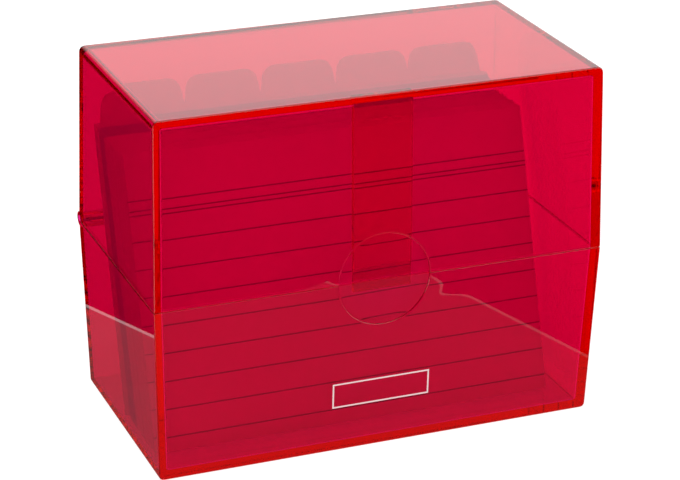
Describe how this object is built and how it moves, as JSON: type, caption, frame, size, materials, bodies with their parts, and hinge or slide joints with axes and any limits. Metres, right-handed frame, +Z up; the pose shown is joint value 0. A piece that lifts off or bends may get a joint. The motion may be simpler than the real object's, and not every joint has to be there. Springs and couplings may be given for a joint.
{
  "type": "index card box",
  "caption": "Hinged index-card box of translucent red plastic, with ruled cards and rounded-tab dividers standing inside.",
  "frame": {"origin": "on the table, under the middle of the whole object, hinge knuckles included", "axes": "+X to the right seen from the front, +Y towards the hinge side, +Z up"},
  "size_m": [0.118, 0.0658, 0.093],
  "materials": {
    "clear_red": "glossy, see-through moulded polystyrene",
    "pin_steel": "plain drawn wire",
    "ruled_card": "matt white card with ruling",
    "tinted_card": "matt tinted card",
    "divider_board": "matt pressboard"
  },
  "bodies": {
    "base": {"base_tray": "clear_red", "hinge_pin_left": "pin_steel", "hinge_pin_right": "pin_steel"},
    "lid": {"lid": "clear_red"},
    "ruled_pack": {"ruled_card_01": "ruled_card", "ruled_card_02": "ruled_card", "ruled_card_03": "ruled_card", "ruled_card_04": "ruled_card", "ruled_card_05": "ruled_card", "ruled_card_06": "ruled_card", "ruled_card_07": "ruled_card", "ruled_card_08": "ruled_card", "ruled_card_09": "ruled_card", "ruled_card_10": "ruled_card", "ruled_card_11": "ruled_card", "ruled_card_12": "ruled_card", "ruled_card_13": "ruled_card", "ruled_card_14": "ruled_card", "ruled_card_15": "ruled_card", "ruled_card_16": "ruled_card", "ruled_card_17": "ruled_card", "ruled_card_18": "ruled_card", "ruled_card_19": "ruled_card", "ruled_card_20": "ruled_card", "ruled_card_21": "ruled_card", "ruled_card_22": "ruled_card", "ruled_card_23": "ruled_card", "ruled_card_24": "ruled_card", "ruled_card_25": "ruled_card", "ruled_card_26": "ruled_card", "ruled_card_27": "ruled_card"},
    "tinted_pack": {"tinted_card_01": "tinted_card", "tinted_card_02": "tinted_card", "tinted_card_03": "tinted_card", "tinted_card_04": "tinted_card", "tinted_card_05": "tinted_card", "tinted_card_06": "tinted_card", "tinted_card_07": "tinted_card", "tinted_card_08": "tinted_card", "tinted_card_09": "tinted_card", "tinted_card_10": "tinted_card", "tinted_card_11": "tinted_card", "tinted_card_12": "tinted_card", "tinted_card_13": "tinted_card", "tinted_card_14": "tinted_card", "tinted_card_15": "tinted_card", "tinted_card_16": "tinted_card"},
    "divider_1": {"divider_1": "divider_board"},
    "divider_2": {"divider_2": "divider_board"},
    "divider_3": {"divider_3": "divider_board"},
    "divider_4": {"divider_4": "divider_board"},
    "divider_5": {"divider_5": "divider_board"}
  },
  "joints": [
    {"name": "lid_hinge", "type": "hinge", "parent": "base", "child": "lid", "pos_m": [0, 0.031, 0.0456], "axis": [-1, 0, 0], "range_deg": [0, 110]},
    {"name": "ruled_pack_tilt", "type": "hinge", "parent": "base", "child": "ruled_pack", "pos_m": [0, -0.0203, 0.0022], "axis": [1, 0, 0], "range_deg": [0, 17]},
    {"name": "tinted_pack_tilt", "type": "hinge", "parent": "base", "child": "tinted_pack", "pos_m": [0, -0.00625, 0.0022], "axis": [1, 0, 0], "range_deg": [0, 9.5]},
    {"name": "divider_1_tilt", "type": "hinge", "parent": "base", "child": "divider_1", "pos_m": [0, 0.00062, 0.0022], "axis": [1, 0, 0], "range_deg": [0, 7.75]},
    {"name": "divider_2_tilt", "type": "hinge", "parent": "base", "child": "divider_2", "pos_m": [0, 0.00104, 0.0022], "axis": [1, 0, 0], "range_deg": [0, 6.22]},
    {"name": "divider_3_tilt", "type": "hinge", "parent": "base", "child": "divider_3", "pos_m": [0, 0.00146, 0.0022], "axis": [1, 0, 0], "range_deg": [0, 4.69]},
    {"name": "divider_4_tilt", "type": "hinge", "parent": "base", "child": "divider_4", "pos_m": [0, 0.00188, 0.0022], "axis": [1, 0, 0], "range_deg": [0, 3.16]},
    {"name": "divider_5_tilt", "type": "hinge", "parent": "base", "child": "divider_5", "pos_m": [0, 0.0023, 0.0022], "axis": [1, 0, 0], "range_deg": [0, 1.63]}
  ],
  "couplings": [
    {"joint": "tinted_pack_tilt", "follows": "ruled_pack_tilt", "ratio": 0.55},
    {"joint": "divider_1_tilt", "follows": "ruled_pack_tilt", "ratio": 0.45},
    {"joint": "divider_2_tilt", "follows": "ruled_pack_tilt", "ratio": 0.36},
    {"joint": "divider_3_tilt", "follows": "ruled_pack_tilt", "ratio": 0.27},
    {"joint": "divider_4_tilt", "follows": "ruled_pack_tilt", "ratio": 0.18},
    {"joint": "divider_5_tilt", "follows": "ruled_pack_tilt", "ratio": 0.09}
  ]
}
